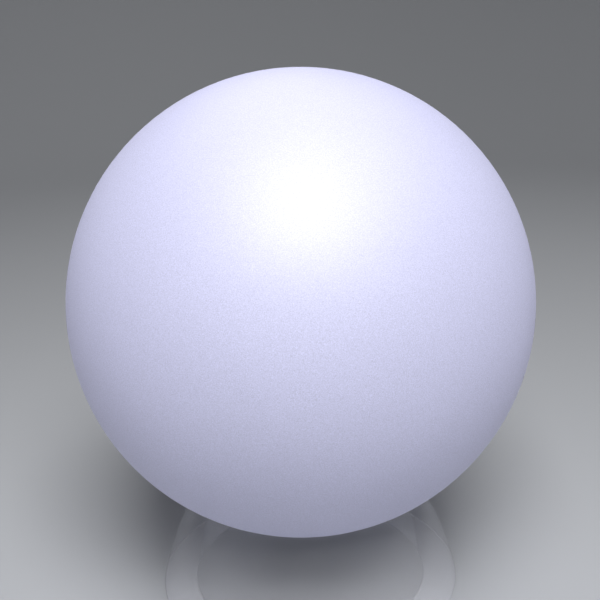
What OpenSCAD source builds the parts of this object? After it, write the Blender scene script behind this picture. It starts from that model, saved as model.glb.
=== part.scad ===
// Glowing garden ball on a low clear ring stand.
// The frosted ball has a round mouth underneath. A domed cap closes the mouth and carries the
// push button, the charging port, a folding hanging bail and the light module.
// Millimetres, +Z up. The origin is on the floor, in the middle of the stand.

/* [Ball] */
// Outer diameter of the ball
globe_d = 200; // [180:5:320]
// Wall of the ball
shell_wall = 3; // [2:0.5:4]

/* [Stand] */
// Height of the stand's rim above the floor
stand_h = 48; // [36:1:80]
// How far the rim's inner edge lies outside the mouth of the ball
rim_lap = 3.5; // [1:0.25:6]
// Width of the rim
rim_w = 3; // [3:0.25:4]
// Outer radius of the foot
foot_r = 70; // [66:1:90]
// Inner radius of the foot
foot_in_r = 54.5; // [52:0.5:57]
// How far the outer flank bows out from a straight cone
flank_bow = 2.8; // [1:0.1:5]
// Gap between the rim and the ball
seat_gap = 0.3; // [0.2:0.05:0.5]

/* [Mouth of the ball] */
// Gap all round between cap and mouth
joint_gap = 0.2; // [0.1:0.05:0.4]
// Gap all round between the module cup and the ledge
cup_gap = 1; // [0.5:0.25:2]
// Width of the ledge
ledge_w = 8; // [7.5:0.25:10]
// Thickness of the ledge
ledge_t = 3; // [2:0.5:5]
// Wall of the neck round the mouth
neck_wall = 3; // [2:0.5:5]
// Thickness of the gasket
gasket_t = 1; // [0.5:0.25:2]
// Height of the ring that holds the inserts
nut_ring_h = 6; // [5.5:0.5:10]

/* [Cap] */
// Height of the cap, from the ball's lowest point to its flange
cap_h = 15; // [14.5:0.5:18]
// Wall of the cap
cap_wall = 3; // [2.5:0.25:3.5]
// Radius of the thick pad in the middle
pad_r = 22; // [21.5:0.25:23]
// Depth of the recess that seats the module cup
cup_seat = 2; // [1:0.25:3]

/* [Screws] */
// Number of cap screws
cap_screw_n = 6; // [4:2:8]
// Distance of the cap screws from the ledge's inner edge
cap_screw_inset = 3.5; // [3.25:0.25:4]
// Diameter of the screw shanks
screw_d = 3; // [2.5:0.1:3.2]
// Diameter of the screw heads
head_d = 5.6; // [5:0.1:5.8]
// Height of the screw heads
head_h = 2.2; // [1.6:0.1:2.4]
// Outer diameter of the brass inserts
insert_d = 4.6; // [4.2:0.1:5]
// Length of the brass inserts
insert_l = 5; // [4:0.5:5.5]
// Distance of the module screws from the inside of the cup's wall
cup_screw_inset = 3.5; // [3.25:0.25:3.75]

/* [Button and switch] */
// Diameter of the button
button_d = 13.9; // [12:0.1:14]
// Travel of the button
button_travel = 0.8; // [0.4:0.1:1]
// Thickness of the seal ring
seal_t = 1.4; // [1:0.1:1.6]
// Width of the switch body
switch_w = 6.2; // [6:0.1:7]

/* [Bail] */
// Radius of the bail, to the middle of its wire
bail_r = 16; // [15:0.25:16.5]
// Diameter of the bail's wire
wire_d = 3; // [2:0.1:3.2]
// Gap between the wire and its groove
wire_gap = 0.6; // [0.5:0.05:0.7]
// Length of each pivot pin past the middle of the wire
pin_l = 4.5; // [3.5:0.25:4.75]

/* [Charging port] */
// Distance of the port from the inside of the cup's wall
port_inset = 6; // [5.75:0.25:6.5]
// Diameter of the plug's head
plug_head_d = 12.6; // [11:0.1:13]
// Diameter of the plug's stem
plug_stem_d = 6.1; // [5:0.1:6.5]
// Length of the plug's stem
plug_stem_l = 6.3; // [4:0.1:6.5]
// Width of the socket body
jack_w = 9; // [8.6:0.1:9.4]

/* [Module] */
// Room between the corners of the cell and the wall of the cup
cell_room = 1.85; // [1.5:0.05:3]
// Height of the module cup
cup_h = 37; // [37:0.5:45]
// Wall of the module cup
cup_wall = 2; // [1.6:0.1:2.2]
// Thickness of the deck that carries the light
deck_t = 4; // [4:0.25:5]
// Height of the rim above the deck
deck_rim = 5; // [5:0.25:6]
// Thickness of the circuit boards
board_t = 1.6; // [1:0.2:2]
// Height of the control board above the ball's lowest point
board_h = 17; // [17:0.25:19]
// Length of the battery cell
cell_l = 50; // [44:1:50]
// Width of the battery cell
cell_w = 30; // [26:1:31]
// Thickness of the battery cell
cell_t = 9; // [7:0.25:9.5]
// Thickness of the battery's foam pad
foam_t = 1.6; // [1:0.1:2]
// Thickness of the battery retainer
retainer_t = 1.6; // [1.2:0.1:2]
// Height of the clear dome over the light
cover_h = 14; // [10:0.5:18]
// Wall of the clear dome
cover_wall = 1.6; // [1.2:0.1:2]
// Number of chips in the ring
chip_n = 8; // [6:1:9]
// Radius of the ring of chips
chip_ring_r = 10; // [9:0.25:10.25]
// Width of one chip
chip_w = 5; // [3:0.5:5]

/* [Hidden] */
$fn = 96;
EPS = 0.01;
globe_r = globe_d / 2;
// The cup goes round the cell, the ledge round the cup, and the stand's rim round the mouth.
cup_in_r = norm([cell_l, cell_w]) / 2 + cell_room;
cup_r = cup_in_r + cup_wall;
ledge_r = cup_r + cup_gap;
mouth_r = ledge_r + ledge_w;
cap_screw_r = ledge_r + cap_screw_inset;
cup_screw_r = cup_in_r - cup_screw_inset;
rim_in_r = mouth_r + rim_lap;
rim_out_r = rim_in_r + rim_w;
// Middle of the ball: the seat sphere passes through the rim's outer edge.
globe_z = stand_h + sqrt(pow(globe_r + seat_gap, 2) - pow(rim_out_r, 2));
pole_z = globe_z - globe_r;
cap_r = mouth_r - joint_gap;
ledge_z = cap_h + gasket_t;
neck_top = ledge_z + ledge_t;
screw_r = screw_d / 2;
screw_clear = 0.2;
head_r = head_d / 2;
head_clear = 0.3;
// A head lies this far inside the ball's surface, measured at the outer side of its hole.
head_sink = 0.9;
cap_head_z = ball_h(cap_screw_r + head_r) + head_sink;
cup_head_z = ball_h(cup_screw_r + head_r) + head_sink;
cup_fit = 0.1;
cup_z = cap_h - cup_seat;
cup_top = cup_z + cup_h;
deck_z = cup_top - deck_rim;
deck_under = deck_z - deck_t;
cup_screw_angles = [45, 135, 225, 315];
cup_boss_r = cup_in_r + cup_fit * 3 - cup_screw_r;
cup_boss_h = 11;
cup_post_r = cup_boss_r;
board_r = cup_in_r - 1;
board_top = board_h + board_t;
board_post_w = 2.6;
board_post_r = board_r - board_post_w - 2.9;
board_screw_angles = [0, 120, 240];
small_r = 1.1;
small_head_r = 2.3;
small_head_h = 1.6;
small_grip = 5;
button_r = button_d / 2;
run_gap = 0.05;
button_face = 0.9;
dish_depth = 1.8;
dish_r = button_r + 1.6;
flange_z = 5.5;
flange_t = 1.2;
flange_w = 1.4;
seal_z = 3;
seal_groove = seal_t + run_gap;
stem_r = 2;
plunger_r = 1.7;
switch_h = 3.6;
switch_z = board_h - switch_h;
plunger_z = 10;
wire_r = wire_d / 2;
bail_z = 3.1 + wire_r;
groove_top = bail_z + wire_r + wire_gap / 2;
pad_h = groove_top + 3;
stop_gap = 0.1;
port_y = cup_in_r - port_inset;
plug_head_r = plug_head_d / 2;
plug_head_t = 2.2;
port_well_r = plug_head_r + 0.3;
plug_z = ball_h(port_y + plug_head_r) + 0.8;
well_z = plug_z + plug_head_t + 0.1;
port_pad_z = well_z + 2.2;
port_pad_r = port_well_r + 1.5;
plug_stem_r = plug_stem_d / 2;
jack_h = board_h - port_pad_z;
contact_r = 0.65;
foam_z = deck_under - foam_t;
cell_z = foam_z - cell_t;
retainer_z = cell_z - retainer_t;
retainer_w = 24;
retainer_y = cell_w / 2 + 7;
window_w = 12;
window_l = 18;
retainer_end = 3.6;
retainer_post = 2.8;
led_board_r = cup_in_r - 1;
led_top = deck_z + board_t;
led_screw_r = led_board_r - 5;
led_screw_angles = [0, 120, 240];
collar_t = 1.6;
collar_in_r = chip_ring_r + 4;
collar_out_r = 22;
collar_h = 7.4;
skirt_r = cup_in_r - cup_fit;
skirt_l = 3;
chip_h = 1.6;
lead_r = 0.8;
lead_gap = 2.5;
led_lead_x = cell_l / 2 + 1.6;
led_lead_y = -5;
cell_lead_x = -cell_l / 2 - 2.4;
cell_lead_y = 5;
cell_lead_z = cell_z + cell_t / 2;

// Height of the ball's surface over its lowest point, at distance r from the axis
function ball_h(r) = globe_r - sqrt(globe_r * globe_r - r * r);

// Radius of the arc over a chord that bows out by a given amount
function bow_radius(chord, bow) = chord * chord / (8 * bow) + bow / 2;

// Places its children from the ball's lowest point, where the cap's heights are counted from
module at_pole(z = 0) {
    translate([0, 0, pole_z + z]) children();
}

// Repeats its children round the axis, at radius r and the given angles
module around(r, angles) {
    for (a = angles) {
        rotate([0, 0, a]) translate([r, 0, 0]) children();
    }
}

function evenly(n) = [for (i = [0 : n - 1]) i * 360 / n];

// A tube standing on z = 0
module tube(r_out, r_in, h) {
    difference() {
        cylinder(r = r_out, h = h);
        translate([0, 0, -EPS]) cylinder(r = r_in, h = h + 2 * EPS);
    }
}

// Pan-head screw, head at z = 0 and shank upwards, with a cross recess
module screw(shank_r, shank_l, top_r, top_h) {
    slot = top_r * 0.36;
    difference() {
        union() {
            cylinder(r = top_r, h = top_h);
            translate([0, 0, top_h - EPS]) cylinder(r = shank_r, h = shank_l + EPS);
        }
        for (a = [0, 90]) {
            rotate([0, 0, a]) translate([-top_r * 0.6, -slot / 2, -EPS])
                cube([top_r * 1.2, slot, top_h * 0.55]);
        }
    }
}

// Stand

// Centre of the flank's arc, inside the stand, from its rim and foot points
flank_dr = foot_r - rim_out_r;
flank_chord = norm([flank_dr, stand_h]);
flank_rho = bow_radius(flank_chord, flank_bow);
flank_c = [(foot_r + rim_out_r) / 2 - (flank_rho - flank_bow) * stand_h / flank_chord,
    stand_h / 2 - (flank_rho - flank_bow) * flank_dr / flank_chord];

// Section of the stand: bowed outer flank, straight inner flank, flat foot, seat on top
module stand_outline() {
    inner_dr = foot_in_r - rim_in_r;
    difference() {
        intersection() {
            translate(flank_c) circle(r = flank_rho, $fn = 360);
            square([foot_r, stand_h]);
        }
        // Everything inside the straight inner flank
        polygon([[0, -1], [foot_in_r + inner_dr / stand_h, -1],
            [rim_in_r - inner_dr / stand_h, stand_h + 1], [0, stand_h + 1]]);
        // The ball's seat
        translate([0, globe_z]) circle(r = globe_r + seat_gap, $fn = 360);
    }
}

module stand_ring() {
    color([0.86, 0.88, 0.93, 0.45]) rotate_extrude() stand_outline();
}

// Ball

module globe_shell() {
    color([0.93, 0.93, 1]) difference() {
        translate([0, 0, globe_z]) sphere(r = globe_r, $fn = 180);
        difference() {
            translate([0, 0, globe_z]) sphere(r = globe_r - shell_wall, $fn = 180);
            at_pole(-1) cylinder(r = mouth_r + neck_wall, h = neck_top + 1);
        }
        at_pole(-1) cylinder(r = mouth_r, h = ledge_z + 1);
        at_pole(-1) cylinder(r = ledge_r, h = neck_top + 2);
        at_pole(0) around(cap_screw_r, evenly(cap_screw_n))
            cylinder(r = screw_r + screw_clear, h = neck_top + 1);
    }
}

module nut_ring() {
    color("whitesmoke") at_pole(neck_top) difference() {
        tube(mouth_r, ledge_r, nut_ring_h);
        around(cap_screw_r, evenly(cap_screw_n)) translate([0, 0, -EPS])
            cylinder(r = insert_d / 2, h = nut_ring_h + 2 * EPS);
    }
}

module threaded_inserts() {
    color("goldenrod") at_pole(neck_top + (nut_ring_h - insert_l) / 2)
        around(cap_screw_r, evenly(cap_screw_n)) tube(insert_d / 2, screw_r, insert_l);
}

module cap_gasket() {
    color("dimgray") at_pole(cap_h) difference() {
        tube(cap_r - joint_gap, ledge_r + 0.5, gasket_t);
        around(cap_screw_r, evenly(cap_screw_n)) translate([0, 0, -EPS])
            cylinder(r = screw_r + screw_clear, h = gasket_t + 2 * EPS);
    }
}

// Cap

// The solid parts of the cap, before its outside is cut to the ball
module cap_mass() {
    // Domed wall
    difference() {
        cylinder(r = cap_r, h = cap_h);
        translate([0, 0, globe_r]) sphere(r = globe_r - cap_wall, $fn = 180);
    }
    // Flange that presses on the gasket
    tube(cap_r, cup_in_r - 1.5, cap_h);
    // Thick pad that holds the button and the bail
    cylinder(r = pad_r, h = pad_h);
    // Pad of the charging port
    translate([0, port_y, 0]) cylinder(r = port_pad_r, h = port_pad_z);
    // Posts of the control board
    around(board_post_r, board_screw_angles) cylinder(r = board_post_w, h = board_h);
    // Posts under the module cup
    around(cup_screw_r, cup_screw_angles) cylinder(r = cup_post_r, h = cup_z);
}

// Groove, leg pockets, pivot bores and thumb dish of the bail
module bail_cuts() {
    half = wire_r + wire_gap;
    // Half-round groove
    rotate([0, 0, 180]) rotate_extrude(angle = 180)
        translate([bail_r - half, -1]) square([half * 2, groove_top + 1]);
    for (side = [-1, 1]) {
        // Pocket where the leg stands when the bail hangs down; its +y wall is the stop
        translate([side * bail_r - half, -wire_r * 2, -1])
            cube([half * 2, wire_r * 3 + stop_gap, groove_top + 1]);
        // Pivot bore
        translate([side * bail_r, 0, bail_z]) rotate([0, side * 90, 0])
            cylinder(r = wire_r + run_gap, h = pin_l + 0.4);
    }
    // Thumb dish under the middle of the bail
    translate([0, -bail_r - 2.5, 1.2]) sphere(r = 5);
}

module base_cap() {
    color("gainsboro") at_pole() difference() {
        intersection() {
            cap_mass();
            translate([0, 0, globe_r]) sphere(r = globe_r, $fn = 180);
        }
        // Recess that seats the module cup
        translate([0, 0, cup_z]) cylinder(r = cup_r + cup_fit, h = cap_h);
        bail_cuts();
        // Button: dish, bore, groove of the seal ring, chamber of the flange
        translate([0, 0, -1]) cylinder(r = dish_r, h = dish_depth + 1);
        cylinder(r = button_r + run_gap, h = pad_h + 1);
        translate([0, 0, seal_z]) cylinder(r = button_r + run_gap + seal_groove, h = seal_groove);
        translate([0, 0, flange_z]) cylinder(r = button_r + flange_w + 0.4, h = pad_h);
        // Charging port: well, bore and a notch for the fingernail
        translate([0, port_y, -1]) {
            cylinder(r = port_well_r, h = well_z + 1);
            cylinder(r = plug_stem_r + 0.35, h = port_pad_z + 2);
            translate([0, -port_well_r, 0]) cylinder(r = 2.6, h = plug_z + 2);
        }
        // Pocket of the socket's body
        translate([-jack_w / 2 - joint_gap, port_y - jack_w / 2 - joint_gap, port_pad_z])
            cube([jack_w + 2 * joint_gap, jack_w + 2 * joint_gap, cap_h]);
        // Cap screws
        around(cap_screw_r, evenly(cap_screw_n)) {
            cylinder(r = screw_r + screw_clear, h = cap_h + 1);
            cylinder(r = head_r + head_clear, h = cap_head_z + head_h);
        }
        // Module screws
        around(cup_screw_r, cup_screw_angles) {
            cylinder(r = screw_r + screw_clear, h = cup_z + 1);
            cylinder(r = head_r + head_clear, h = cup_head_z + head_h);
        }
        // Pilot holes of the control board's screws
        around(board_post_r, board_screw_angles) translate([0, 0, board_h - small_grip - 1])
            cylinder(r = small_r, h = small_grip + 2);
    }
}

module cap_screws() {
    reach = neck_top + (nut_ring_h + insert_l) / 2 - cap_head_z - head_h;
    color("silver") at_pole(cap_head_z) around(cap_screw_r, evenly(cap_screw_n))
        screw(screw_r, reach, head_r, head_h);
}

// Button and switch

module power_button() {
    edge = 0.6;
    top = plunger_z - run_gap;
    color("white") at_pole() rotate_extrude() difference() {
        union() {
            translate([0, button_face + edge]) square([button_r, flange_z + flange_t - button_face - edge]);
            translate([0, button_face]) square([button_r - edge, edge + EPS]);
            translate([button_r - edge, button_face + edge]) circle(r = edge, $fn = 32);
            translate([0, flange_z + run_gap]) square([button_r + flange_w, flange_t - run_gap]);
            square([stem_r, top]);
        }
        // Shallow hollow for the finger
        translate([0, button_face - 30 + 0.5]) circle(r = 30, $fn = 180);
        translate([-button_r * 2, -1]) square([button_r * 2, top + 2]);
    }
}

module button_seal() {
    color("dimgray") at_pole(seal_z + seal_groove / 2) rotate_extrude()
        translate([button_r + run_gap + seal_t / 2, 0]) circle(r = seal_t / 2, $fn = 32);
}

module tact_switch() {
    half = switch_w / 2;
    color([0.15, 0.15, 0.16]) at_pole() difference() {
        translate([-half, -half, switch_z]) cube([switch_w, switch_w, switch_h]);
        translate([0, 0, switch_z - EPS])
            cylinder(r = plunger_r + run_gap, h = switch_h - 0.6);
    }
}

module switch_plunger() {
    color("black") at_pole(plunger_z)
        cylinder(r = plunger_r, h = switch_z + switch_h - 0.9 - button_travel - plunger_z);
}

// Charging port

module charge_jack() {
    half = jack_w / 2;
    color([0.15, 0.15, 0.16]) at_pole() translate([0, port_y, port_pad_z]) {
        difference() {
            translate([-half, -half, 0]) cube([jack_w, jack_w, jack_h]);
            translate([0, 0, -EPS]) cylinder(r = plug_stem_r + run_gap, h = jack_h - 1);
        }
        cylinder(r = contact_r, h = jack_h - EPS);
    }
}

module port_plug() {
    color("gray") at_pole() translate([0, port_y, plug_z]) difference() {
        union() {
            cylinder(r = plug_head_r, h = plug_head_t);
            translate([0, 0, plug_head_t - EPS]) cylinder(r = plug_stem_r, h = plug_stem_l);
        }
        // Hollow for the socket's pin
        translate([0, 0, plug_head_t]) cylinder(r = contact_r + 0.4, h = plug_stem_l + 1);
    }
}

// Bail

module hang_bail() {
    color("silver") at_pole(bail_z) {
        rotate([0, 0, 180]) rotate_extrude(angle = 180)
            translate([bail_r, 0]) circle(r = wire_r, $fn = 32);
        for (side = [-1, 1]) {
            translate([side * bail_r, 0, 0]) {
                sphere(r = wire_r, $fn = 32);
                rotate([0, side * 90, 0]) cylinder(r = wire_r, h = pin_l);
            }
        }
    }
}

// Control board

module control_board() {
    color([0.1, 0.35, 0.2]) at_pole(board_h) difference() {
        cylinder(r = board_r, h = board_t);
        around(cup_screw_r, cup_screw_angles) translate([0, 0, -1])
            cylinder(r = cup_boss_r + 0.5, h = board_t + 2);
        around(board_post_r, board_screw_angles) translate([0, 0, -1])
            cylinder(r = small_r + 0.2, h = board_t + 2);
    }
}

// Chips, coil and connectors on top of the board: position, then size, in steps of the grid
board_grid = 1;
board_part_list = [
    [[-7, -4], [9, 8, 1.6]],
    [[8, 6], [6, 5, 1.5]],
    [[-6, 9], [4, 3, 1.2]],
    [[12, -9], [7, 7, 4]],
    [[0, -16], [10, 5, 6]],
    [[-16, 2], [5, 8, 6]]
];

// Electrolytic capacitors
can_r = 2.5;
can_h = 6;

module board_parts() {
    color([0.18, 0.18, 0.2]) at_pole(board_top) {
        for (part = board_part_list * board_grid) {
            translate([part[0][0] - part[1][0] / 2, part[0][1] - part[1][1] / 2, 0])
                cube(part[1]);
        }
        for (place = [[2, 14], [-14, -12]] * board_grid) {
            translate(place) cylinder(r = can_r, h = can_h);
        }
    }
}

module board_screws() {
    color("silver") at_pole(board_top + small_head_h) around(board_post_r, board_screw_angles)
        rotate([180, 0, 0]) screw(small_r, board_t + small_grip, small_head_r, small_head_h);
}

// Module cup

module module_cup() {
    color("white") at_pole() difference() {
        union() {
            difference() {
                translate([0, 0, cup_z]) cylinder(r = cup_r, h = cup_h);
                translate([0, 0, cup_z - EPS]) cylinder(r = cup_in_r, h = deck_under - cup_z + EPS);
                translate([0, 0, deck_z]) cylinder(r = cup_in_r, h = cup_top - deck_z + 1);
            }
            around(cup_screw_r, cup_screw_angles) translate([0, 0, cup_z])
                cylinder(r = cup_boss_r, h = cup_boss_h);
            for (side = [-1, 1]) {
                translate([0, side * retainer_y, cell_z])
                    cylinder(r = retainer_post, h = deck_under - cell_z + EPS);
            }
        }
        around(cup_screw_r, cup_screw_angles) translate([0, 0, cup_z - EPS])
            cylinder(r = screw_r, h = cup_boss_h - 2);
        for (side = [-1, 1]) {
            translate([0, side * retainer_y, cell_z - EPS])
                cylinder(r = small_r, h = small_grip + 1);
        }
        around(led_screw_r, led_screw_angles) translate([0, 0, deck_z - 3])
            cylinder(r = small_r, h = 4);
        led_lead_places() translate([0, 0, deck_under - 1]) cylinder(r = lead_r + 0.2, h = deck_t + 2);
    }
}

module housing_screws() {
    reach = cup_z + cup_boss_h - 3 - cup_head_z - head_h;
    color("silver") at_pole(cup_head_z) around(cup_screw_r, cup_screw_angles)
        screw(screw_r, reach, head_r, head_h);
}

// Battery

module battery_cell() {
    round_r = 2;
    color([0.2, 0.35, 0.6]) at_pole(cell_z) {
        for (x = [-1, 1], y = [-1, 1]) {
            translate([x * (cell_l / 2 - round_r), y * (cell_w / 2 - round_r), 0])
                cylinder(r = round_r, h = cell_t);
        }
        translate([-cell_l / 2 + round_r, -cell_w / 2, 0])
            cube([cell_l - 2 * round_r, cell_w, cell_t]);
        translate([-cell_l / 2, -cell_w / 2 + round_r, 0])
            cube([cell_l, cell_w - 2 * round_r, cell_t]);
    }
}

module battery_pad() {
    color([0.25, 0.25, 0.27]) at_pole(foam_z)
        translate([-cell_l / 2 + 4, -cell_w / 2 + 3, 0]) cube([cell_l - 8, cell_w - 6, foam_t]);
}

module battery_retainer() {
    color("whitesmoke") at_pole(retainer_z) difference() {
        union() {
            translate([-retainer_w / 2, -retainer_y + 1, 0])
                cube([retainer_w, 2 * retainer_y - 2, retainer_t]);
            for (side = [-1, 1]) {
                translate([0, side * retainer_y, 0]) cylinder(r = retainer_end, h = retainer_t);
            }
        }
        for (side = [-1, 1]) {
            translate([0, side * retainer_y, -1]) cylinder(r = small_r + 0.2, h = retainer_t + 2);
        }
        // Window that lightens the plate
        translate([-window_w / 2, -window_l / 2, -1]) cube([window_w, window_l, retainer_t + 2]);
    }
}

module retainer_screws() {
    color("silver") for (side = [-1, 1]) {
        at_pole(retainer_z - small_head_h) translate([0, side * retainer_y, 0])
            screw(small_r, retainer_t + small_grip, small_head_r, small_head_h);
    }
}

module battery_leads() {
    color("firebrick") for (i = [0, 1]) {
        at_pole() translate([cell_lead_x, cell_lead_y + i * lead_gap, 0]) {
            translate([0, 0, board_top]) cylinder(r = lead_r, h = cell_lead_z - board_top);
            translate([0, 0, cell_lead_z]) {
                sphere(r = lead_r, $fn = 32);
                rotate([0, 90, 0]) cylinder(r = lead_r, h = -cell_l / 2 - cell_lead_x);
            }
        }
    }
}

// Light

module led_board() {
    color([0.85, 0.86, 0.88]) at_pole(deck_z) difference() {
        cylinder(r = led_board_r, h = board_t);
        around(led_screw_r, led_screw_angles) translate([0, 0, -1])
            cylinder(r = small_r + 0.2, h = board_t + 2);
        led_lead_places() translate([0, 0, -1]) cylinder(r = lead_r + 0.2, h = board_t + 2);
    }
}

module led_lead_places() {
    for (i = [0, 1]) {
        translate([led_lead_x, led_lead_y - i * lead_gap, 0]) children();
    }
}

module led_leads() {
    color("firebrick") at_pole(board_top) led_lead_places()
        cylinder(r = lead_r, h = led_top - board_top);
}

module led_chips() {
    color([1, 0.95, 0.75]) at_pole(led_top) {
        around(chip_ring_r, evenly(chip_n)) translate([-chip_w / 2, -chip_w / 2, 0])
            cube([chip_w, chip_w, chip_h]);
        translate([-chip_w / 2, -chip_w / 2, 0]) cube([chip_w, chip_w, chip_h]);
    }
}

module led_screws() {
    color("silver") at_pole(led_top + collar_t + small_head_h) around(led_screw_r, led_screw_angles)
        rotate([180, 0, 0])
            screw(small_r, collar_t + board_t + 2.6, small_head_r, small_head_h);
}

module reflector() {
    color("white") at_pole(led_top) difference() {
        rotate_extrude() polygon([[collar_in_r, 0], [led_screw_r + small_head_r, 0],
            [led_screw_r + small_head_r, collar_t], [collar_in_r + collar_t * 1.5, collar_t],
            [collar_out_r, collar_h], [collar_out_r - collar_t, collar_h]]);
        around(led_screw_r, led_screw_angles) translate([0, 0, -1])
            cylinder(r = small_r + 0.2, h = collar_t + 2);
    }
}

module light_cover() {
    base_r = cup_in_r;
    dome_r = (base_r * base_r + cover_h * cover_h) / (2 * cover_h);
    color([0.9, 0.95, 1, 0.5]) at_pole(cup_top) {
        difference() {
            union() {
                intersection() {
                    translate([0, 0, cover_h - dome_r]) sphere(r = dome_r, $fn = 128);
                    cylinder(r = cup_r, h = cover_h);
                }
                cylinder(r = cup_r, h = cover_wall);
                translate([0, 0, -skirt_l]) cylinder(r = skirt_r, h = skirt_l + EPS);
            }
            // Hollow of the dome, only above the skirt
            intersection() {
                translate([0, 0, cover_h - dome_r]) sphere(r = dome_r - cover_wall, $fn = 128);
                cylinder(r = skirt_r - cover_wall, h = cover_h);
            }
            translate([0, 0, -skirt_l - 1]) cylinder(r = skirt_r - cover_wall, h = skirt_l + 1 + EPS);
        }
    }
}

stand_ring();
globe_shell();
nut_ring();
threaded_inserts();
cap_gasket();
base_cap();
cap_screws();
power_button();
button_seal();
tact_switch();
switch_plunger();
charge_jack();
port_plug();
hang_bail();
control_board();
board_parts();
board_screws();
module_cup();
housing_screws();
battery_cell();
battery_pad();
battery_retainer();
retainer_screws();
battery_leads();
led_board();
led_chips();
led_screws();
led_leads();
reflector();
light_cover();
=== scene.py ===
# %% [markdown]
# # A glowing ball on a clear ring
#
# The object is a frosted plastic ball, 200 mm across, with a lamp sealed inside it. It rests on a
# low ring of clear acrylic. Underneath, a domed cap closes the ball and carries the push button,
# the charging port and a folding wire bail.
#
# The exact solids come from the CAD model, which is loaded first and never moved. This script
# dresses them: it gives every piece a finish worked out from numbers, replaces a few pieces by
# finer ones, and sets up the camera, the floor and the light.

# %% Load the fixed model
import math

import bmesh
import bpy
import numpy as np
from mathutils import Matrix, Vector


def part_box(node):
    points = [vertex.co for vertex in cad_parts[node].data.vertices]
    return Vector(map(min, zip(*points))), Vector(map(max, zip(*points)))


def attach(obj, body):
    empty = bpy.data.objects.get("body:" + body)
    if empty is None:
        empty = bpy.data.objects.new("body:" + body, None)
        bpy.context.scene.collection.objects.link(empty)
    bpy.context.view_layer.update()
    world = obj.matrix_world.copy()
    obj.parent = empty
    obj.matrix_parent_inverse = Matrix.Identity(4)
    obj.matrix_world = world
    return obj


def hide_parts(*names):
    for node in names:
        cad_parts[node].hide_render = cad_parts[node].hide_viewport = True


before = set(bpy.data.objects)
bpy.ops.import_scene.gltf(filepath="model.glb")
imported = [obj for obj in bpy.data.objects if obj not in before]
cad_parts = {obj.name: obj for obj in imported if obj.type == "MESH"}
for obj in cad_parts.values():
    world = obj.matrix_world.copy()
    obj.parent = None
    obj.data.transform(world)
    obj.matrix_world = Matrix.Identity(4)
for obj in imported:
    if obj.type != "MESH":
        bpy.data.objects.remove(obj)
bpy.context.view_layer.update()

# %% [markdown]
# ## Where things are
#
# Blender works in metres and a maker thinks in millimetres, so one constant turns the second into
# the first. Every place is read from the loaded model instead of being typed again: the ball's
# top gives its middle, and its lowest point is the zero that the heights in the cap count from.

# %% Measure the ball and the stand
MM = 0.001
BALL_RADIUS = 100 * MM
ball_middle = Vector((0, 0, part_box("globe_shell")[1].z - BALL_RADIUS))
ball_low_z = ball_middle.z - BALL_RADIUS
stand_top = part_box("stand_ring")[1].z
print("middle of the ball:", round(ball_middle.z / MM, 2), "mm; rim:", round(stand_top / MM, 2))

# %% [markdown]
# ## The camera
#
# The picture was taken from close by and a little above: four ball radii away, 18.5 degrees over
# the horizon, with the camera tilted sideways by two degrees. The ball is 235.4 pixels in radius
# on a frame of 600, which fixes the focal length: at four radii the edge of a ball is seen at a
# slope of 1 / sqrt(15), so the focal length is 235.4 x sqrt(15) pixels, or 54.7 mm on a 36 mm
# sensor. The shift of a few pixels puts the ball where the picture has it.

# %% Place the camera
FRAME_SIZE = 600
BALL_PIXELS = 235.4
SHIFT_RIGHT, SHIFT_UP = -0.8, 2.2
elevation, roll = math.radians(18.5), math.radians(1.98)
distance = 4 * BALL_RADIUS
back = Vector((0, -math.cos(elevation), math.sin(elevation)))

lens = bpy.data.cameras.new("camera")
lens.sensor_width = 36
lens.lens = BALL_PIXELS * math.sqrt(15) / FRAME_SIZE * lens.sensor_width
lens.shift_x = SHIFT_RIGHT / FRAME_SIZE
lens.shift_y = SHIFT_UP / FRAME_SIZE
lens.clip_start, lens.clip_end = 0.01, 20
camera = bpy.data.objects.new("camera", lens)


def looking_from(away, distance):
    """The placement of a camera or lamp that faces the ball's middle from a direction."""
    turned = away.to_track_quat("Z", "Y").to_matrix().to_4x4()
    return Matrix.Translation(ball_middle + away * distance) @ turned


camera.matrix_world = looking_from(back, distance) @ Matrix.Rotation(-roll, 4, "Z")
bpy.context.scene.collection.objects.link(camera)
bpy.context.scene.camera = camera
print("focal length:", round(lens.lens, 2), "mm; the camera is", distance, "m away")

# %% [markdown]
# ## A small language for finishes
#
# A procedural finish is a formula, and a formula is easier to read as Python than as a picture of
# wires. `Tone` wraps the output of a node and overloads the arithmetic operators, so that
# `1 - mask * 0.5` adds the Math nodes by itself. `Finish` is one material: fixed values are set on
# its Principled shader, and `node` is the one method that adds any other node, from its type, its
# settings and what goes into its sockets.

# %% Tone and Finish
class Tone:
    """An output of a shader node. Plus, minus, times, divide and power add a Math node."""

    def __init__(self, finish, socket):
        self.finish, self.socket = finish, socket

    def math(self, operation, *others):
        return self.finish.node("Math", {"operation": operation}, [self, *others])

    def __add__(self, other):
        return self.math("ADD", other)

    def __sub__(self, other):
        return self.math("SUBTRACT", other)

    def __rsub__(self, other):
        return self.finish.node("Math", {"operation": "SUBTRACT"}, [other, self])

    def __mul__(self, other):
        return self.math("MULTIPLY", other)

    def __truediv__(self, other):
        return self.math("DIVIDE", other)

    def __rtruediv__(self, other):
        return self.finish.node("Math", {"operation": "DIVIDE"}, [other, self])

    def __pow__(self, other):
        return self.math("POWER", other)

    __radd__, __rmul__ = __add__, __mul__

    def step(self, start, end):
        """0 below start, 1 above end and an even ramp between them."""
        return self.finish.node("MapRange", {}, [self, start, end, 0.0, 1.0])

    def either(self, other):
        """The larger of two masks, so the area of both."""
        return self.math("MAXIMUM", other)


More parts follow.
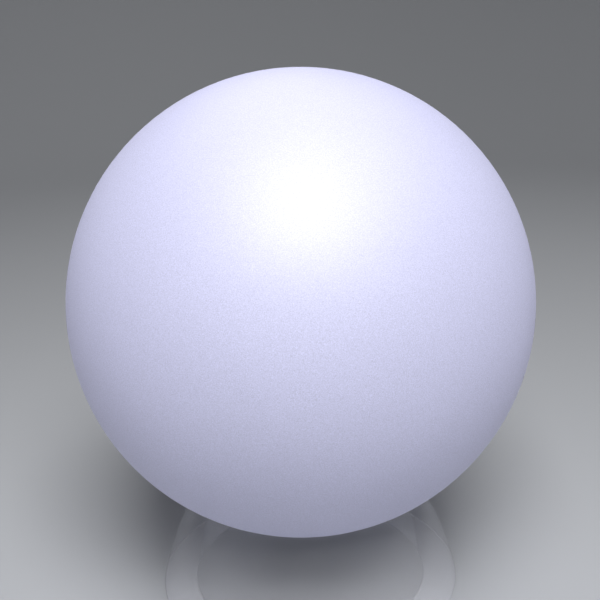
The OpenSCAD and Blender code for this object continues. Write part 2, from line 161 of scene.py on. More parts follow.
class Finish:
    """A material with one Principled shader. Keywords are its sockets, with _ for a space."""

    def __init__(self, name, colour, roughness, **fixed):
        self.material = bpy.data.materials.new(name)
        self.material.use_nodes = True
        self.tree = self.material.node_tree
        self.shader = self.tree.nodes["Principled BSDF"]
        values = {"Base Color": (*colour, 1.0), "Roughness": roughness}
        values.update({key.replace("_", " "): value for key, value in fixed.items()})
        for socket, value in values.items():
            self.shader.inputs[socket].default_value = value
        self.place = self.node("TexCoord", {}, [], "Object")

    def node(self, kind, settings, sockets, out=0):
        """Adds a node: settings first, then a value or a Tone for each socket."""
        made = self.tree.nodes.new("ShaderNode" + kind)
        for name, value in settings.items():
            setattr(made, name, value)
        pairs = sockets.items() if isinstance(sockets, dict) else enumerate(sockets)
        for key, value in pairs:
            self.join(value, made.inputs[key])
        return Tone(self, made.outputs[out])

    def join(self, value, socket):
        """Links a Tone to a socket, or sets a plain value on it."""
        if isinstance(value, Tone):
            self.tree.links.new(value.socket, socket)
        else:
            socket.default_value = value

    def feed(self, **tones):
        """Links Tones to the shader's own sockets."""
        for key, tone in tones.items():
            self.join(tone, self.shader.inputs[key.replace("_", " ")])

    def axis(self, name):
        """One coordinate of the point, in metres: X, Y or Z."""
        return self.node("SeparateXYZ", {}, [self.place], name)

    def noise(self, size, detail=2.0, stretch=None):
        """Soft random pattern from 0 to 1, whose blobs are about this size in metres."""
        place = self.place
        if stretch:
            place = self.node("VectorMath", {"operation": "MULTIPLY"}, [place, stretch])
        return self.node(
            "TexNoise", {}, {"Vector": place, "Scale": 1 / size, "Detail": detail}, "Fac"
        )

    def cells(self, size, out="Distance"):
        """Random cells of about this size: the distance to the nearest cell's middle."""
        return self.node("TexVoronoi", {}, {"Vector": self.place, "Scale": 1 / size}, out)

    def blend(self, mask, low, high):
        """The colour low where mask is 0 and high where it is 1."""
        low, high = [c if isinstance(c, Tone) else (*c, 1.0) for c in (low, high)]
        return self.node("Mix", {"data_type": "RGBA"}, {0: mask, 6: low, 7: high}, 2)

    def tint(self, strength, colour):
        """A colour times a Tone."""
        return self.node(
            "VectorMath", {"operation": "SCALE"}, {"Vector": colour, "Scale": strength}
        )

    def bump(self, height, depth, strength=1.0):
        """Raises the surface by height, from 0 to 1, times depth in metres."""
        sockets = {"Strength": strength, "Distance": depth, "Height": height}
        self.join(self.node("Bump", {}, sockets, "Normal"), self.shader.inputs["Normal"])


print("Tone and Finish are ready")

# %% [markdown]
# ## Patterns round an axis
#
# Screws, inserts and chips stand evenly round a circle. To draw the same mark on each of them, a
# point is turned back by a whole number of steps until it lies beside the first one. What is left
# are its own coordinates on that piece.

# %% Coordinates on the nearest of several pieces
def on_nearest(finish, count, radius, first=0.0):
    """Turns the point back by the nearest whole step, then measures from the circle's radius."""
    x, y = finish.axis("X"), finish.axis("Y")
    step = 2 * math.pi / count
    turns = ((y.math("ARCTAN2", x) - first) / step).math("ROUND")
    angle = turns * step + first
    cosine, sine = angle.math("COSINE"), angle.math("SINE")
    return x * cosine + y * sine - radius, y * cosine - x * sine


def length_of(a, b):
    """The distance from the middle: the root of the two squares added."""
    return (a * a + b * b).math("SQRT")


print("a step of six screws is", 360 // 6, "degrees")

# %% [markdown]
# ## The frosted ball
#
# The wall of the ball is milky polyethylene, lit from inside. Light that goes through such a wall
# leaves it evenly, so the ball shines by itself, most on the side that the lamp faces: the top.
# Real scattering inside the wall would be slow and noisy. The usual way is a glow on the surface
# that follows the height, over a satin skin that still catches the lamps of the studio. The cool
# white leans to lavender. A very fine grain, from the sandblasted mould, breaks the gloss.

# %% Frosted ball finish
LAVENDER = (0.73, 0.735, 1.0)
SKIN_TONE = 0.49
GLOW_LOW, GLOW_RISE, GLOW_CURVE = 0.1, 0.24, 1.1
CLOUD_SIZE, GRAIN_SIZE = 45 * MM, 0.36 * MM
CLOUD_SHARE, GRAIN_SHARE = 0.05, 0.75

frosted = Finish(
    "frosted_globe", (0.36, 0.362, 0.49), 0.6, IOR=1.5, Specular_IOR_Level=1.0,
    Emission_Strength=1.0,
)
height = (frosted.axis("Z") - ball_middle.z) / BALL_RADIUS
cloud = frosted.noise(CLOUD_SIZE, 1.0)
grain = frosted.noise(GRAIN_SIZE, 2.0)
even = 1 + (cloud - 0.5) * CLOUD_SHARE + (grain - 0.5) * GRAIN_SHARE
glow = ((height * 0.5 + 0.5) ** GLOW_CURVE * GLOW_RISE + GLOW_LOW) * even
frosted.feed(Emission_Color=frosted.tint(glow, LAVENDER))
frosted.feed(Base_Color=frosted.tint(even * SKIN_TONE, LAVENDER))
frosted.feed(Roughness=0.56 + grain * 0.08)
frosted.bump(grain, 0.03 * MM, 0.6)
print("glow from", GLOW_LOW, "at the bottom to", GLOW_LOW + GLOW_RISE, "at the top")

# %% [markdown]
# ## The clear acrylic
#
# Clear plastic is seen by what it doesn't let through: a thin veil, which is stronger where the
# surface is seen at a slant, and the lamps that it mirrors. Real bending of the light through a
# thick ring needs many bounces and stays noisy. So each surface is a straight view through, with a
# share of satin plastic, and that share is its alpha. It grows with the slant and changes a little
# from place to place. The foot is ground flat, so it is the palest face, and it is seen through
# the ring as an even band between its two edges.

# %% Clear finishes
def clear_finish(name, colour, veil, edge, haze, haze_size):
    """Clear plastic whose alpha is veil when seen straight on, and veil + edge at a full slant."""
    made = Finish(name, colour, haze, IOR=1.49, Coat_Weight=1.0, Coat_Roughness=haze)
    blur = made.noise(haze_size, 2.0)
    made.feed(Roughness=haze + blur * haze)
    made.bump(made.noise(haze_size * 0.7, 1.0), 0.02 * MM)
    slant = made.node("LayerWeight", {}, {"Blend": 0.25}, "Facing")
    made.veil = veil + slant * edge + (blur - 0.5) * 0.05
    made.feed(Alpha=made.veil)
    return made


clear_stand = clear_finish("clear_stand", (0.84, 0.85, 0.9), 0.09, 0.42, 0.16, 14 * MM)
GROUND_VEIL = 0.25
ground = 1 - clear_stand.axis("Z").step(0.2 * MM, 0.9 * MM)
clear_stand.feed(Alpha=clear_stand.veil + ground * GROUND_VEIL)
clear_cover = clear_finish("clear_cover", (0.75, 0.78, 0.85), 0.2, 0.2, 0.3, 5 * MM)
print("clear finishes:", clear_stand.material.name, clear_cover.material.name)

# %% [markdown]
# ## Moulded plastics and rubber
#
# A moulded part takes its skin from the mould. The cap has the fine pebble of a spark-eroded
# mould, the button is a little smoother and is polished by fingers in its middle, and silicone is
# matt and always holds some dust.

# %% Moulded plastics
def moulded(name, colour, roughness, texture, depth):
    """Plastic with a pebbled skin: cells of the texture's size, and a slow change of its tone."""
    made = Finish(name, colour, roughness)
    slow = made.noise(12 * MM, 2.0)
    pebble = made.cells(texture)
    dark, pale = [[c * k for c in colour] for k in (0.93, 1.04)]
    made.feed(Base_Color=made.blend(slow, dark, pale))
    made.feed(Roughness=roughness - 0.06 + slow * 0.08 + pebble * 0.05)
    made.bump(pebble, depth)
    return made


cap_plastic = moulded("cap_plastic", (0.6, 0.61, 0.65), 0.48, 0.35 * MM, 0.02 * MM)
white_plastic = moulded("white_plastic", (0.78, 0.78, 0.77), 0.42, 0.8 * MM, 0.012 * MM)
black_plastic = moulded("black_plastic", (0.03, 0.03, 0.034), 0.4, 0.6 * MM, 0.015 * MM)
print("moulded finishes:", 3)

# %% Button: worn smooth where the finger lands
button_plastic = moulded("button_plastic", (0.8, 0.8, 0.83), 0.42, 0.6 * MM, 0.015 * MM)
from_middle = length_of(button_plastic.axis("X"), button_plastic.axis("Y"))
worn = 1 - from_middle.step(1.5 * MM, 6 * MM)
button_plastic.feed(Roughness=0.42 - worn * 0.16 + button_plastic.noise(2 * MM) * 0.05)
print("button finish: polished within", 6, "mm of its middle")

# %% Silicone and foam
silicone = Finish("grey_silicone", (0.28, 0.29, 0.31), 0.7, Sheen_Weight=0.15)
dust = silicone.noise(1.2 * MM, 4.0).step(0.5, 0.75)
silicone.feed(Base_Color=silicone.blend(dust, (0.24, 0.25, 0.27), (0.33, 0.34, 0.355)))
silicone.feed(Roughness=0.64 + dust * 0.2)
silicone.bump(silicone.noise(0.5 * MM), 0.015 * MM)

foam = Finish("black_foam", (0.05, 0.05, 0.055), 0.92)
bubble_pit_and_shade = foam.cells(0.7 * MM)
# The colour is darkest in the middle of each cell, where the bump sinks the pit: painted shade in
# the bubbles' hollows, over the foam's real black.
foam.feed(Base_Color=foam.blend(bubble_pit_and_shade, (0.03, 0.03, 0.033), (0.085, 0.085, 0.092)))
foam.bump(bubble_pit_and_shade, 0.12 * MM)
print("rubber finishes: silicone and closed-cell foam")

# %% [markdown]
# ## Metals
#
# Three metals show or sit inside. The bail is drawn and polished wire, with faint scratches along
# it. Screw heads are turned or rolled, which leaves fine rings round their own axis, and that is
# where the pattern round an axis is used. The inserts are yellow brass.

# %% Polished wire
wire_steel = Finish("polished_steel", (0.72, 0.73, 0.75), 0.16, Metallic=1.0)
scratch = wire_steel.noise(0.35 * MM, 3.0, (1.0, 0.12, 1.0))
wire_steel.feed(Roughness=0.12 + scratch * 0.14)
wire_steel.feed(Base_Color=wire_steel.blend(scratch, (0.66, 0.67, 0.69), (0.76, 0.77, 0.79)))
wire_steel.bump(scratch, 0.004 * MM)
print("wire finish made")


# %% Turned metal
def turned_metal(name, colour, count, radius, first=0.0):
    """Metal with rings of 0.12 mm round the axis of each piece on a circle."""
    made = Finish(name, colour, 0.3, Metallic=1.0)
    across, along = on_nearest(made, count, radius, first)
    rings = (length_of(across, along) * (2 * math.pi / (0.12 * MM))).math("SINE") * 0.5 + 0.5
    stain = made.noise(1.5 * MM, 3.0)
    dark, pale = [[c * k for c in colour] for k in (0.86, 1.06)]
    made.feed(Base_Color=made.blend(stain, dark, pale))
    made.feed(Roughness=0.22 + stain * 0.12 + rings * 0.06)
    made.bump(rings, 0.003 * MM)
    return made


print("turned metal is a ring pattern", 0.12, "mm apart")

# %% [markdown]
# ## The electronics
#
# Nothing of this shows while the ball is whole, but each piece still gets its own finish. The
# board is green lacquer over copper tracks, and a Voronoi pattern measured along the axes makes
# straight tracks with square bends. The light board is white lacquer on bare aluminium. Each chip
# is a white frame round a square of yellow phosphor.

# %% Circuit board
circuit = Finish("circuit_board", (0.03, 0.2, 0.09), 0.32)
PITCH = 1.27 * MM
zone_place = {"Vector": circuit.place, "Scale": 1 / (7 * MM)}
zone = circuit.node("TexVoronoi", {"distance": "CHEBYCHEV"}, zone_place, "Color")
runs_along_x = circuit.node("SeparateXYZ", {}, [zone], "X").step(0.5, 0.501)
tracks = [
    0.5 - ((circuit.axis(name) / PITCH).math("FRACT") - 0.5).math("ABSOLUTE") for name in "XY"
]
across_track = tracks[0] + (tracks[1] - tracks[0]) * runs_along_x
used = circuit.node("SeparateXYZ", {}, [zone], "Y").step(0.3, 0.301)
track = across_track.step(0.3, 0.34) * used
pad_place = {"Vector": circuit.place, "Scale": 1 / (4 * MM), "Randomness": 0.6}
spot = circuit.node("TexVoronoi", {}, pad_place, "Distance")
pad = 1 - spot.step(0.14, 0.16)
lacquer = circuit.blend(track, (0.012, 0.13, 0.055), (0.03, 0.24, 0.1))
circuit.feed(Base_Color=circuit.blend(pad, lacquer, (0.7, 0.7, 0.68)))
circuit.feed(Metallic=pad * 0.9, Roughness=0.3 + circuit.noise(6 * MM) * 0.1)
circuit.bump(track + pad, 0.03 * MM)
print("circuit board finish made")

# %% Components: capacitor cans, white plug sockets, black packages with tinned feet
parts_finish = Finish("board_parts", (0.03, 0.03, 0.034), 0.4)
part_x, part_y = parts_finish.axis("X"), parts_finish.axis("Y")
parts_low, parts_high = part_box("board_parts")
above_board = parts_finish.axis("Z") - parts_low.z
below_top = parts_high.z - parts_finish.axis("Z")

first_can = length_of(part_x - 2 * MM, part_y - 14 * MM)
second_can = length_of(part_x + 14 * MM, part_y + 12 * MM)
from_can = first_can.math("MINIMUM", second_can)
is_can = 1 - from_can.step(2.6 * MM, 2.7 * MM)
can_top = is_can * (1 - below_top.step(0.4 * MM, 0.5 * MM))
can_end = can_top * (1 - from_can.step(2.0 * MM, 2.1 * MM))

front_socket = 1 - part_y.step(-13.3 * MM, -13.2 * MM)
front_socket = front_socket * (1 - part_x.math("ABSOLUTE").step(6 * MM, 6.1 * MM))
side_socket = 1 - part_x.step(-13.2 * MM, -13.1 * MM) - is_can
is_socket = front_socket.either(side_socket)

foot_stripe = ((part_x + part_y) / PITCH).math("FRACT").step(0.5, 0.55)
tinned = (1 - above_board.step(0.5 * MM, 0.55 * MM)) * foot_stripe * (1 - is_can)
bare_metal = tinned.either(can_end)

speckle = parts_finish.noise(0.4 * MM)
package = parts_finish.blend(speckle, (0.02, 0.02, 0.023), (0.045, 0.045, 0.05))
package = parts_finish.blend(is_socket.either(0.0), package, (0.72, 0.71, 0.66))
package = parts_finish.blend(bare_metal, package, (0.7, 0.7, 0.71))
parts_finish.feed(Base_Color=package, Metallic=bare_metal * 0.95)
parts_finish.feed(Roughness=0.35 + parts_finish.noise(0.8 * MM) * 0.15)
parts_finish.bump(parts_finish.noise(0.3 * MM) + tinned, 0.01 * MM)
print("component finish made")

# %% Light board
CHIP_CIRCLE, CHIPS_AROUND = 10, 8

light_board = Finish("aluminium_board", (0.85, 0.86, 0.87), 0.35)
board_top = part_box("led_board")[1].z
lacquered = light_board.axis("Z").step(board_top - 0.12 * MM, board_top - 0.06 * MM)
across_board = length_of(light_board.axis("X"), light_board.axis("Y"))
ring_track = 1 - (across_board - CHIP_CIRCLE * MM).math("ABSOLUTE").step(2.8 * MM, 3 * MM)
white_lacquer = light_board.blend(ring_track, (0.86, 0.86, 0.85), (0.8, 0.8, 0.78))
rolled = light_board.noise(0.6 * MM, 2.0, (1.0, 1.0, 6.0))
bare = light_board.blend(rolled, (0.6, 0.6, 0.61), (0.72, 0.72, 0.73))
light_board.feed(Base_Color=light_board.blend(lacquered, bare, white_lacquer))
light_board.feed(Metallic=1 - lacquered, Roughness=0.3 + light_board.noise(3 * MM) * 0.12)
light_board.bump(ring_track, 0.04 * MM)
print("light board lacquered above", round(board_top / MM, 2), "mm")

# %% Light chips
chips = Finish("light_chip", (0.9, 0.9, 0.88), 0.35, Emission_Strength=0.6)
around_u, around_v = on_nearest(chips, CHIPS_AROUND, CHIP_CIRCLE * MM)
chip_x, chip_y = chips.axis("X"), chips.axis("Y")
outer = length_of(chip_x, chip_y).step(5.0 * MM, 5.1 * MM)
local_u = chip_x + (around_u - chip_x) * outer
local_v = chip_y + (around_v - chip_y) * outer
from_edge = local_u.math("ABSOLUTE").either(local_v.math("ABSOLUTE"))
phosphor = 1 - from_edge.step(1.95 * MM, 2.1 * MM)
speck = chips.noise(0.25 * MM, 2.0)
chips.feed(Base_Color=chips.blend(phosphor, (0.9, 0.9, 0.88), (0.93, 0.8, 0.22)))
chips.feed(Emission_Color=chips.tint(phosphor * (0.75 + speck * 0.25), (0.93, 0.95, 1.0)))
chips.feed(Roughness=0.3 + speck * 0.2)
chips.bump(phosphor * speck, 0.03 * MM)
print("each chip has a phosphor square of", 4, "mm")

# %% Cell wrap and leads
wrap = Finish("battery_wrap", (0.1, 0.2, 0.45), 0.28, Coat_Weight=0.3)
cell_low, cell_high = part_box("battery_cell")
toward_end = wrap.axis("X").math("ABSOLUTE").step(cell_high.x * 0.8, cell_high.x)
wrinkle = wrap.noise(1.6 * MM, 3.0, (0.3, 1.0, 1.0)) * (0.15 + toward_end)
overlap = 1 - (wrap.axis("Y") - 4 * MM).math("ABSOLUTE").step(0.5 * MM, 0.7 * MM)
wrap.feed(Base_Color=wrap.blend(wrinkle + overlap * 0.4, (0.07, 0.16, 0.4), (0.16, 0.28, 0.55)))
wrap.feed(Roughness=0.24 + wrinkle * 0.2)
wrap.bump(wrinkle + overlap, 0.12 * MM)

lead = Finish("lead_insulation", (0.5, 0.03, 0.03), 0.36)
is_black = lead.axis("Y").math("ABSOLUTE").step(6.2 * MM, 6.3 * MM)
lead_tone = lead.noise(2 * MM)
red = lead.blend(lead_tone, (0.42, 0.02, 0.02), (0.56, 0.04, 0.035))
lead.feed(Base_Color=lead.blend(is_black, red, (0.025, 0.025, 0.028)))
lead.feed(Roughness=0.3 + lead_tone * 0.12)
lead.bump(lead.noise(0.4 * MM), 0.01 * MM)
print("cell wrap and leads made")

# %% [markdown]
# ## Dress the CAD nodes
#
# A node whose shape is right keeps its exact mesh and only gets a finish, through its object's
# material slots.

# %% Give each node its finish
def dress(finish, *nodes):
    """Puts a finish into every material slot of the nodes."""
    for node in nodes:
        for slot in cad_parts[node].material_slots:
            slot.material = finish.material


CAP_CIRCLE = 37.505
brass_metal = turned_metal("brass", (0.78, 0.6, 0.28), 6, CAP_CIRCLE * MM)
dress(frosted, "globe_shell")
dress(clear_cover, "light_cover")
dress(cap_plastic, "base_cap")
dress(button_plastic, "power_button")
dress(white_plastic, "nut_ring", "module_cup", "battery_retainer", "reflector")
dress(black_plastic, "tact_switch", "switch_plunger", "charge_jack")
dress(parts_finish, "board_parts")
dress(silicone, "cap_gasket", "button_seal", "port_plug")
dress(foam, "battery_pad")
dress(wire_steel, "hang_bail")
dress(circuit, "control_board")
dress(light_board, "led_board")
dress(lead, "battery_leads", "led_leads")
print("materials in use:", len(bpy.data.materials))

# %% [markdown]
# ## Surfaces from formulas
#
# New pieces are made as grids of points. A grid has rows along a profile and turns round an axis,
# and several copies can share one mesh. Numpy works out all points at once, neighbours on the grid
# become four-sided faces, and welding closes the seams and the poles.

# %% From grids of points to a piece
def quads(points, loop):
    """Faces of a grid of copies x rows x turns points. loop joins its last row to the first."""
    copies, rows, turns, _ = points.shape
    ranges = np.arange(copies), np.arange(rows if loop else rows - 1), np.arange(turns)
    copy, row, turn = np.meshgrid(*ranges, indexing="ij")

    def corner(down, on):
        return (copy * rows + (row + down) % rows) * turns + (turn + on) % turns

    return np.stack([corner(0, 0), corner(0, 1), corner(1, 1), corner(1, 0)], -1).reshape(-1, 4)


WELD = 1e-7


def piece(name, finish, crease, *grids):
    """An object at the origin from (points, loop) grids in millimetres, welded, faces outward."""
    verts, faces, start = [], [], 0
    for points, loop in grids:
        verts.append(points.reshape(-1, 3) * MM)
        faces.append(quads(points, loop) + start)
        start += len(verts[-1])
    mesh = bpy.data.meshes.new(name)
    mesh.from_pydata(np.concatenate(verts).tolist(), [], np.concatenate(faces).tolist())
    welded = bmesh.new()
    welded.from_mesh(mesh)
    bmesh.ops.remove_doubles(welded, verts=welded.verts, dist=WELD)
    bmesh.ops.recalc_face_normals(welded, faces=welded.faces)
    welded.to_mesh(mesh)
    welded.free()
    mesh.shade_smooth()
    mesh.set_sharp_from_angle(angle=math.radians(crease))
    mesh.materials.append(finish.material)
    made = bpy.data.objects.new(name, mesh)
    bpy.context.scene.collection.objects.link(made)
    print(name, "has", len(mesh.polygons), "faces")
    return made


def stands_for(made, node, body):
    """Shows the piece instead of a CAD node, and lets it move with a body."""
    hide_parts(node)
    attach(made, body)


def spun(profile, turns):
    """Carries a profile of (radius, height) points round the Z axis: x = r cos a, y = r sin a."""
    angle = np.linspace(0, 2 * np.pi, turns, endpoint=False)
    r, z = profile[:, :1], profile[:, 1:]
    return np.stack([r * np.cos(angle), r * np.sin(angle), z + 0 * angle], -1)[None]


def on_circle(count, radius, first=0.0):
    """Middles of count places round a circle, as rows of x and y."""
    angle = first + 2 * np.pi * np.arange(count) / count
    return np.stack([radius * np.cos(angle), radius * np.sin(angle)], -1)


print("helpers for surfaces are ready")

# %% [markdown]
# ## The clear ring
#
# The ring is turned or moulded from clear acrylic and then polished, so none of its edges is
# sharp. A sharp edge would show as a bare line, and a round one catches a thread of light. The
# section has four sides: a bowed outer flank, a seat that follows the ball, a straight inner flank
# and the foot. Each corner is bridged by a quadratic curve, and the section is carried round.

# %% Section with round corners
def softened(sides, cut, count=6):
    """One closed outline of sides. Each loses cut at both ends, and at a corner c the curve
    (1 - t)^2 a + 2 t (1 - t) c + t^2 b joins the end a of one side to the start b of the next."""
    trimmed = []
    for side in sides:
        run = np.append(0, np.cumsum(np.linalg.norm(np.diff(side, axis=0), axis=1)))
        at = np.linspace(cut, run[-1] - cut, len(side))
        trimmed.append(np.stack([np.interp(at, run, side[:, k]) for k in (0, 1)], -1))
    t = np.linspace(0, 1, count + 2)[1:-1, None]
    outline = []
    for side, this, after in zip(sides, trimmed, trimmed[1:] + trimmed[:1]):
        curve = (1 - t) ** 2 * this[-1] + 2 * t * (1 - t) * side[-1] + t**2 * after[0]
        outline += [this, curve]
    return np.concatenate(outline)


FOOT_OUT, FOOT_IN, RIM_OUT, SEAT_IN, BOW = 70, 54.5, 48.505, 45.805, 2.8
SEAT_RADIUS, EDGE_CUT = 100.3, 0.8
rim_z, ball_z = stand_top / MM, ball_middle.z / MM
t = np.linspace(0, 1, 40)[:, None]
foot, rim = np.array([FOOT_OUT, 0.0]), np.array([RIM_OUT, rim_z])
outward = np.array([rim_z, FOOT_OUT - RIM_OUT]) / math.hypot(rim_z, FOOT_OUT - RIM_OUT)
flank = foot + (rim - foot) * t + outward * BOW * 4 * t * (1 - t)
seat_r = np.linspace(RIM_OUT, SEAT_IN, 8)
seat = np.stack([seat_r, ball_z - np.sqrt(SEAT_RADIUS**2 - seat_r**2)], -1)
inner = np.linspace(seat[-1], [FOOT_IN, 0], 24)
sole = np.linspace([FOOT_IN, 0], [FOOT_OUT, 0], 10)
section = softened([flank, seat, inner, sole], EDGE_CUT)
ring = piece("clear_ring", clear_stand, 30, (spun(section, 256), True))
stands_for(ring, "stand_ring", "stand")

# %% [markdown]
# ## Screws
#
# A screw is two closed forms: a pan head with a cross recess and a shank with its thread. Both are
# drawn in the screw's own cylinder coordinates: the angle a round the axis and the depth t below
# the head's face. The thread is a wave of the radius along t, and adding a / 2 pi to its phase
# makes a helix of it. A machine screw has a fine thread, a screw for plastic a coarse one.

# %% Screws as surfaces
def screws(name, node, body, finish, places, face, way, head, shank, pitch):
    """Screws at places, heads facing against way, which is 1 for up and -1 for down.

    head = (radius, height), shank = (radius, length). Head: t = 0.4 h u^4 over r = R u, and
    inside a cross it is 0.55 h deeper. Shank: r = R - c (1 - cos(2 pi t / pitch - a)) / 2, where
    c, the depth of the thread, is a third of its pitch.
    """
    radius, height = head
    a = np.linspace(0, 2 * np.pi, 96, endpoint=False)
    u = np.linspace(0, 1, 30)[:, None]
    r = radius * u + 0 * a
    x, y = np.abs(r * np.cos(a)), np.abs(r * np.sin(a))
    arm, half = 0.6 * radius, 0.17 * radius
    inside = np.minimum(np.maximum(x - arm, y - half), np.maximum(y - arm, x - half))
    dome = 0.4 * height * u**4 + 0.55 * height * np.clip(-inside / (0.06 * radius), 0, 1)
    rim_r = np.array([[1.0], [1.0], [0.95], [0.0]]) * radius + 0 * a
    rim_t = np.array([[0.6], [0.95], [1.0], [1.0]]) * height + 0 * a
    head_r, head_t = np.concatenate([r, rim_r]), np.concatenate([dome, rim_t])

    r0, length = shank
    b = np.linspace(0, 2 * np.pi, 40, endpoint=False)
    depth = np.linspace(0, length, int(length / pitch * 6) + 2)[:, None]
    wave = 0.5 - 0.5 * np.cos(2 * np.pi * depth / pitch - b)
    there = np.clip(depth / (2 * pitch), 0, 1)
    tip = 1 - 0.35 * np.clip((depth - length + 1.5 * pitch) / (1.5 * pitch), 0, 1)
    body_r = (r0 - 0.33 * pitch * wave * there) * tip
    ends = 0 * body_r[:1]
    shank_r = np.concatenate([ends, body_r, ends])
    shank_t = np.concatenate([depth[:1], depth, depth[-1:]]) + 0 * b + height - 0.05

    grids = []
    for ring_r, ring_t, angle in ((head_r, head_t, a), (shank_r, shank_t, b)):
        turned = angle + 0.7 * np.arange(len(places))[:, None]
        px = places[:, 0, None, None] + ring_r * np.cos(turned)[:, None]
        py = places[:, 1, None, None] + ring_r * np.sin(turned)[:, None]
        pz = ball_low_z / MM + face + way * ring_t + 0 * px
        grids.append((np.stack([px, py, pz], -1), False))
    made = piece(name, finish, 40, *grids)
    stands_for(made, node, body)


STEEL = (0.62, 0.63, 0.65)
HOUSING_CIRCLE, BOARD_CIRCLE, LIGHT_CIRCLE, RETAINER_CIRCLE = 27.505, 24.505, 25.005, 22
of_six = turned_metal("stainless_screw_six", STEEL, 6, CAP_CIRCLE * MM)
of_four = turned_metal("stainless_screw_four", STEEL, 4, HOUSING_CIRCLE * MM, math.pi / 4)
of_three = turned_metal("stainless_screw_three", STEEL, 3, 24.7 * MM)
of_two = turned_metal("stainless_screw_two", STEEL, 2, RETAINER_CIRCLE * MM, math.pi / 2)

M3_HEAD, SMALL_HEAD = (2.8, 2.2), (2.3, 1.6)
UP, DOWN = 1, -1
SCREW_SETS = (
    # piece, node, finish, places, height of the head's face, way, head, shank, pitch
    ("cap_screw_set", "cap_screws", of_six, on_circle(6, CAP_CIRCLE),
     9.38, UP, M3_HEAD, (1.5, 12.9), 0.5),
    ("housing_screw_set", "housing_screws", of_four, on_circle(4, HOUSING_CIRCLE, math.pi / 4),
     5.6, UP, M3_HEAD, (1.5, 13.2), 1.2),
    ("board_screw_set", "board_screws", of_three, on_circle(3, BOARD_CIRCLE),
     20.2, DOWN, SMALL_HEAD, (1.1, 6.6), 0.9),
    ("led_screw_set", "led_screws", of_three, on_circle(3, LIGHT_CIRCLE),
     49.8, DOWN, SMALL_HEAD, (1.1, 5.8), 0.9),
    ("retainer_screw_set", "retainer_screws", of_two, on_circle(2, RETAINER_CIRCLE, math.pi / 2),
     27.2, UP, SMALL_HEAD, (1.1, 6.6), 0.9),
)
for name, node, finish, *rest in SCREW_SETS:
    screws(name, node, "globe", finish, *rest)

# %% [markdown]
# ## Brass inserts
#
# An insert is pressed hot into the nut ring. Two bands of diamond knurling, separated by a groove,
# keep it from turning and from being pulled out. The knurl is the product of two helical waves
# that lean in opposite directions.

# %% Knurled inserts
def insert_grid(places, bottom, length, outer, bore):
    """r = R - d (1 - |sin(n (a + q z)) sin(n (a - q z))|), less a groove in the middle."""
    a = np.linspace(0, 2 * np.pi, 96, endpoint=False)
    z = np.linspace(0.25, length - 0.25, 30)[:, None]
    knurl = np.abs(np.sin(8 * (a + 0.35 * z)) * np.sin(8 * (a - 0.35 * z)))
    groove = np.clip(1.6 - 4 * np.abs(z - length / 2), 0, 1)
    outside = outer - 0.16 * (1 - knurl) - 0.22 * groove
    lip = np.ones_like(a)
    rows = [(outer - 0.35) * lip, outside, (outer - 0.35) * lip, (bore + 0.3) * lip, bore * lip,
            bore * lip, (bore + 0.3) * lip]
    heights = [0, z[:, 0], length, length, length - 0.3, 0.3, 0]
    r = np.concatenate([np.atleast_2d(row) for row in rows])
    h = np.concatenate([np.atleast_1d(value) for value in heights])[:, None] + 0 * a
    x = places[:, 0, None, None] + r * np.cos(a)
    y = places[:, 1, None, None] + r * np.sin(a)
    return np.stack([x, y, ball_low_z / MM + bottom + h + 0 * x], -1)


insert_points = insert_grid(on_circle(6, CAP_CIRCLE), bottom=19.5, length=5, outer=2.3, bore=1.51)
inserts = piece("knurled_inserts", brass_metal, 50, (insert_points, True))
stands_for(inserts, "threaded_inserts", "globe")

# %% [markdown]
# ## Light chips
#
# Each chip is a moulded white frame with a round well that is filled with yellow phosphor gel. The
# frame is square outside and round inside, so its rows run from a superellipse, which is almost a
# square, to a circle.

# %% Chips with wells
def chip_grid(places, turns, bottom, side, height):
    """Each row is r = s / (|cos a|^n + |sin a|^n)^(1/n), with n = 14 outside and 2 inside."""
    a = np.linspace(0, 2 * np.pi, 96, endpoint=False)
    half, well, gel = side / 2, side * 0.39, height - 0.34
    sizes = np.array([0, half, half, half - 0.12, well, well - 0.12, well - 0.3, 0])[:, None]
    power = np.array([2, 14, 14, 14, 2, 2, 2, 2])[:, None]
    level = np.array([0, 0, height - 0.12, height, height, height - 0.3, gel, gel])
    reach = sizes / (np.abs(np.cos(a)) ** power + np.abs(np.sin(a)) ** power) ** (1 / power)
    angle = (a + turns[:, None])[:, None]
    x = places[:, 0, None, None] + reach * np.cos(angle)
    y = places[:, 1, None, None] + reach * np.sin(angle)
    z = ball_low_z / MM + bottom + level[:, None] + 0 * x
    return np.stack([x, y, z], -1)


chip_places = np.concatenate([[[0.0, 0.0]], on_circle(CHIPS_AROUND, CHIP_CIRCLE)])
chip_turns = np.append(0, np.arange(CHIPS_AROUND) * np.pi / 4)
chip_points = chip_grid(chip_places, chip_turns, bottom=46.6, side=5, height=1.6)
chip_set = piece("chip_set", chips, 40, (chip_points, False))
stands_for(chip_set, "led_chips", "globe")

# %% [markdown]
# ## The wrapped cell
#
# The cell is a flat can in shrunk plastic film. The film rounds its long edges and gathers in
# small folds where it turns over the two ends. The section is a rounded oblong, carried along X,
# and near the ends it draws in and ripples.

# %% Cell in its film
END_CURVE, FOLD_REACH, FOLD_DEPTH = 1.2, 7, 0.16


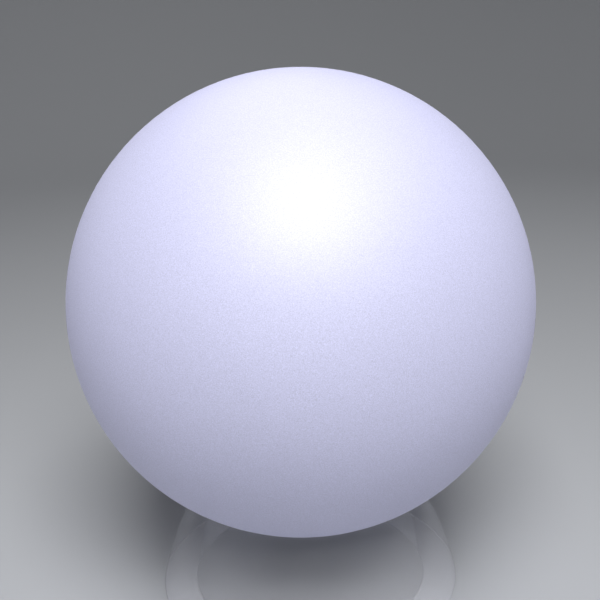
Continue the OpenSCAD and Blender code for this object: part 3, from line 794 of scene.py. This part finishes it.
def cell_grid(low, high, corner):
    """Section: y = (A - c) clip(1.5 cos a) + c cos a and z = (B - c) clip(2.5 sin a) + c sin a,
    drawn in by a quarter circle at the ends and by ripples of sin(26 a) that fade from there."""
    middle, half = (low + high) / 2, (high - low) / 2
    a = np.linspace(0, 2 * np.pi, 208, endpoint=False)
    y = (half[1] - corner) * np.clip(1.5 * np.cos(a), -1, 1) + corner * np.cos(a)
    z = (half[2] - corner) * np.clip(2.5 * np.sin(a), -1, 1) + corner * np.sin(a)
    turn = np.linspace(0, np.pi / 2, 9)
    straight = half[0] - END_CURVE
    ends = straight + END_CURVE * np.sin(turn)
    x = np.concatenate([-ends[::-1], np.linspace(-1, 1, 60)[1:-1] * straight, ends])[:, None]
    over = np.clip((np.abs(x) - straight) / END_CURVE, 0, 1)
    near = np.clip((np.abs(x) - half[0] + FOLD_REACH) / FOLD_REACH, 0, 1) ** 2
    fold = FOLD_DEPTH * near * (1 + np.sin(26 * a + 2 * np.sin(3 * a)))
    draw = END_CURVE * (1 - np.sqrt(1 - over**2)) + fold
    grid = np.stack([x + 0 * a, y * (1 - draw / half[1]), z * (1 - draw / half[2])], -1)
    caps = [np.broadcast_to([sign * half[0], 0, 0], grid[:1].shape) for sign in (-1, 1)]
    return (np.concatenate([caps[0], grid, caps[1]]) + middle)[None]


cell_box = [np.array(v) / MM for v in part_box("battery_cell")]
cell = piece("wrapped_cell", wrap, 60, (cell_grid(*cell_box, 2.0), False))
stands_for(cell, "battery_cell", "globe")

# %% [markdown]
# ## The floor
#
# The studio has a pale floor that curves up into its own wall on every side, like a shallow bowl,
# so that no edge shows from any view. It is flat for 1.1 m and then rises with the square of the
# distance. It lies 0.3 mm under the ring's foot, because two faces in one plane would flicker. It
# isn't part of the object.

# %% Pale floor
FLAT, REACH, RISE, GAP = 1.1, 3.6, 3.0, 0.0003
flat_rows, curved_rows = np.linspace(0.05, FLAT, 12), np.linspace(FLAT, REACH, 40)[1:]
out = np.concatenate([[0.0], flat_rows, curved_rows])
climb = RISE * (np.clip(out - FLAT, 0, None) / (REACH - FLAT)) ** 2 - GAP
floor_finish = Finish("pale_floor", (0.46, 0.47, 0.5), 0.62, Specular_IOR_Level=0.3)
patch = floor_finish.noise(0.5, 2.0)
floor_finish.feed(Base_Color=floor_finish.blend(patch, (0.39, 0.4, 0.42), (0.41, 0.42, 0.44)))
floor = piece("floor", floor_finish, 60, (spun(np.stack([out, climb], -1) / MM, 128), False))

# %% [markdown]
# ## Light
#
# One large soft lamp stands in front and above, a little to the right. It makes the broad bright
# spot high on the ball. A weaker one, far behind, gives the back of the ball and the ring a soft
# edge, and the pale surroundings fill the rest.

# %% Lamps
def soft_lamp(name, azimuth, elevation, distance, size, power):
    """A square lamp that faces the ball's middle. Azimuth 0 is in front, 90 is to the right."""
    a, e = math.radians(azimuth), math.radians(elevation)
    away = Vector((math.sin(a) * math.cos(e), -math.cos(a) * math.cos(e), math.sin(e)))
    light = bpy.data.lights.new(name, "AREA")
    light.size, light.energy = size, power
    lamp = bpy.data.objects.new(name, light)
    lamp.matrix_world = looking_from(away, distance)
    lamp.visible_camera = False
    bpy.context.scene.collection.objects.link(lamp)
    return lamp


key = soft_lamp("key_lamp", azimuth=6, elevation=55, distance=1.1, size=0.6, power=19)
rear = soft_lamp("rear_lamp", azimuth=192, elevation=48, distance=2.3, size=1.0, power=6)
world = bpy.data.worlds.new("surroundings")
bpy.context.scene.world = world
world.use_nodes = True
sky = world.node_tree.nodes["Background"]
sky.inputs["Color"].default_value = (0.9, 0.92, 1.0, 1.0)
sky.inputs["Strength"].default_value = 0.08
bpy.context.scene.view_settings.view_transform = "Standard"
print("lamps:", key.name, "and", rear.name)
